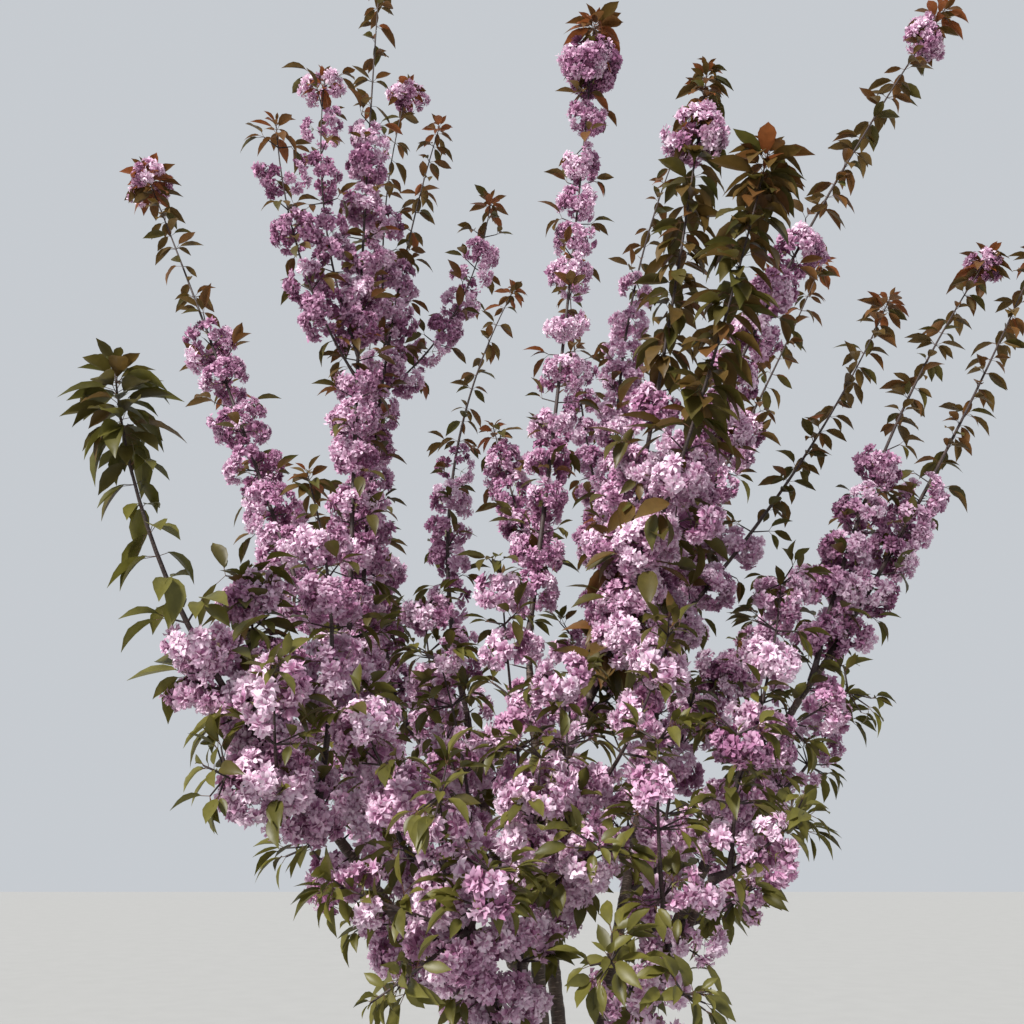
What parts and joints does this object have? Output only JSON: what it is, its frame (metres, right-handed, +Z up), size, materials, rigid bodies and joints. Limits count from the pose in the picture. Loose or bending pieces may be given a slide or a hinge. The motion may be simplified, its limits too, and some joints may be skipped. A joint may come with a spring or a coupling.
{
  "type": "double pink flowering cherry tree",
  "caption": "Young vase-shaped flowering cherry with a short trunk, forked boughs and upright wands sheathed in double pink blossom, with leafy tips.",
  "frame": {"origin": "middle of the flat cut under the trunk, at ground level", "axes": "+Z up, +X to the right and +Y to the back as the picture shows the tree"},
  "size_m": [3.7177, 2.6172, 4.868],
  "materials": {
    "bark": "matt grey-brown bark with pale bands of lenticels",
    "blossom": "soft matt double pink petals",
    "foliage": "satin bronze-green young leaves"
  },
  "bodies": {
    "root": {"bough_back": "bark", "bough_centre": "bark", "bough_front": "bark", "bough_front_left": "bark", "bough_left": "bark", "bough_left_back": "bark", "bough_left_front": "bark", "bough_right": "bark", "bough_right_back": "bark", "bough_right_centre": "bark", "spray_back_left": "blossom", "spray_back_right": "blossom", "spray_centre_back": "blossom", "spray_centre_front": "blossom", "spray_front": "blossom", "spray_front_left": "blossom", "spray_front_left_upper": "blossom", "spray_front_low": "blossom", "spray_front_right": "blossom", "spray_left": "blossom", "spray_left_back": "blossom", "spray_left_front": "blossom", "spray_left_front_outer": "blossom", "spray_left_inner": "blossom", "spray_left_low": "blossom", "spray_left_rear": "blossom", "spray_middle": "blossom", "spray_right": "blossom", "spray_right_centre": "blossom", "spray_right_inner": "blossom", "spray_right_low": "blossom", "spray_right_outer": "blossom", "trunk": "bark", "wand_back_centre": "blossom", "wand_back_far_left": "blossom", "wand_back_far_right": "blossom", "wand_back_left": "blossom", "wand_back_right": "blossom", "wand_centre": "blossom", "wand_far_right": "foliage", "wand_far_right_inner": "foliage", "wand_left_back": "foliage", "wand_left_front": "foliage", "wand_left_outer": "blossom", "wand_left_rear": "blossom", "wand_left_short": "blossom", "wand_left_tall": "blossom", "wand_right": "blossom", "wand_right_back": "blossom", "wand_right_front": "foliage", "wand_right_front_tall": "foliage", "wand_right_inner": "foliage", "wand_right_low": "foliage"}
  },
  "joints": []
}
